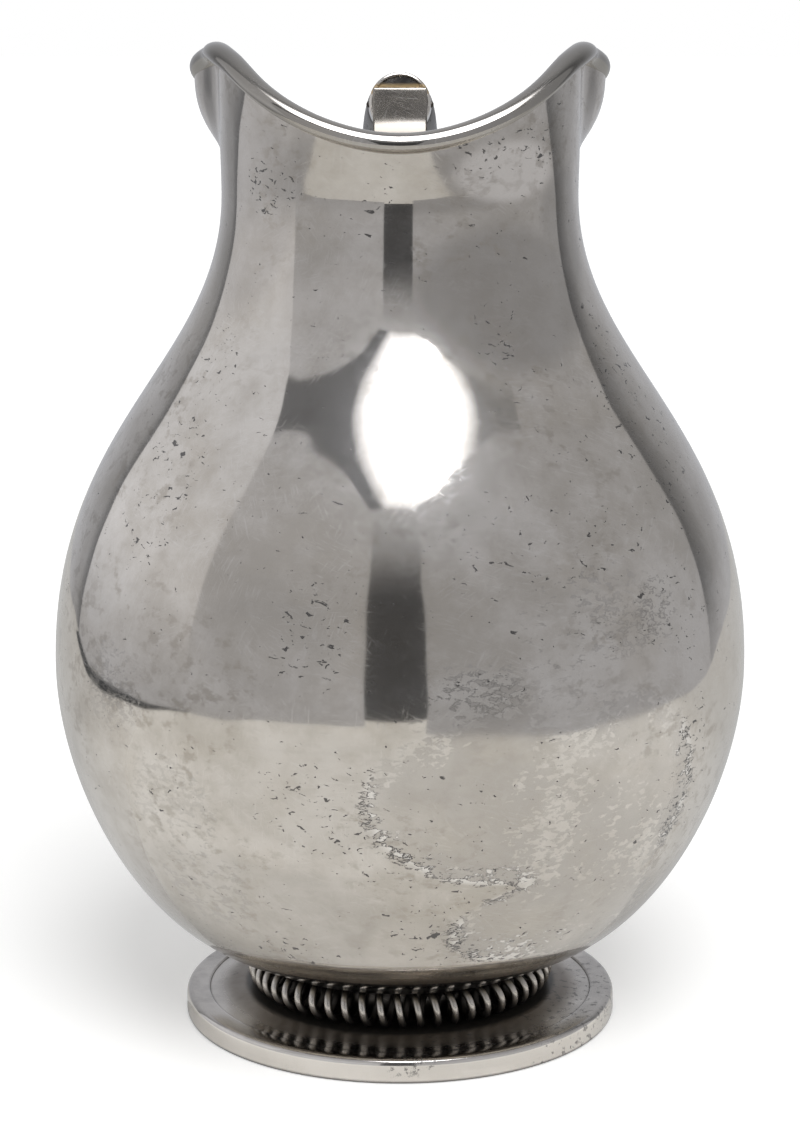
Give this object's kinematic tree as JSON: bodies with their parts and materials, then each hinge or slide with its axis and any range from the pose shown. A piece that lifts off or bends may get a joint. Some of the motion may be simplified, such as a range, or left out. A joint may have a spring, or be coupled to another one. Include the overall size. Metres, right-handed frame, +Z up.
{
  "type": "water pitcher",
  "caption": "Pear-shaped silver water pitcher with a saddle mouth and swelling ears, a foot with a ring of coiled wire, and a dark wooden grip in pinned ferrules.",
  "frame": {"origin": "the middle of the foot ring's underside, on the axis of the bowl, on the surface that the pitcher stands on", "axes": "+Z up along the axis of the bowl, -Y to the front of the mouth, +Y to the handle, +X to the right seen from the front"},
  "size_m": [0.1616, 0.2015, 0.2303],
  "materials": {
    "silver": "polished, with old scratches and patches of tarnish",
    "dark_silver": "tarnished",
    "pin_metal": "blackened",
    "ebony": "waxed"
  },
  "bodies": {
    "root": {"body": "silver", "rim_wire": "silver", "foot_ring": "silver", "foot_dish": "silver", "foot_stem": "dark_silver", "coil_ring": "silver", "upper_bracket": "silver", "upper_ferrule": "silver", "upper_pin": "pin_metal", "grip": "ebony", "lower_ferrule": "silver", "lower_pin": "pin_metal", "lower_bracket": "silver"}
  },
  "joints": []
}
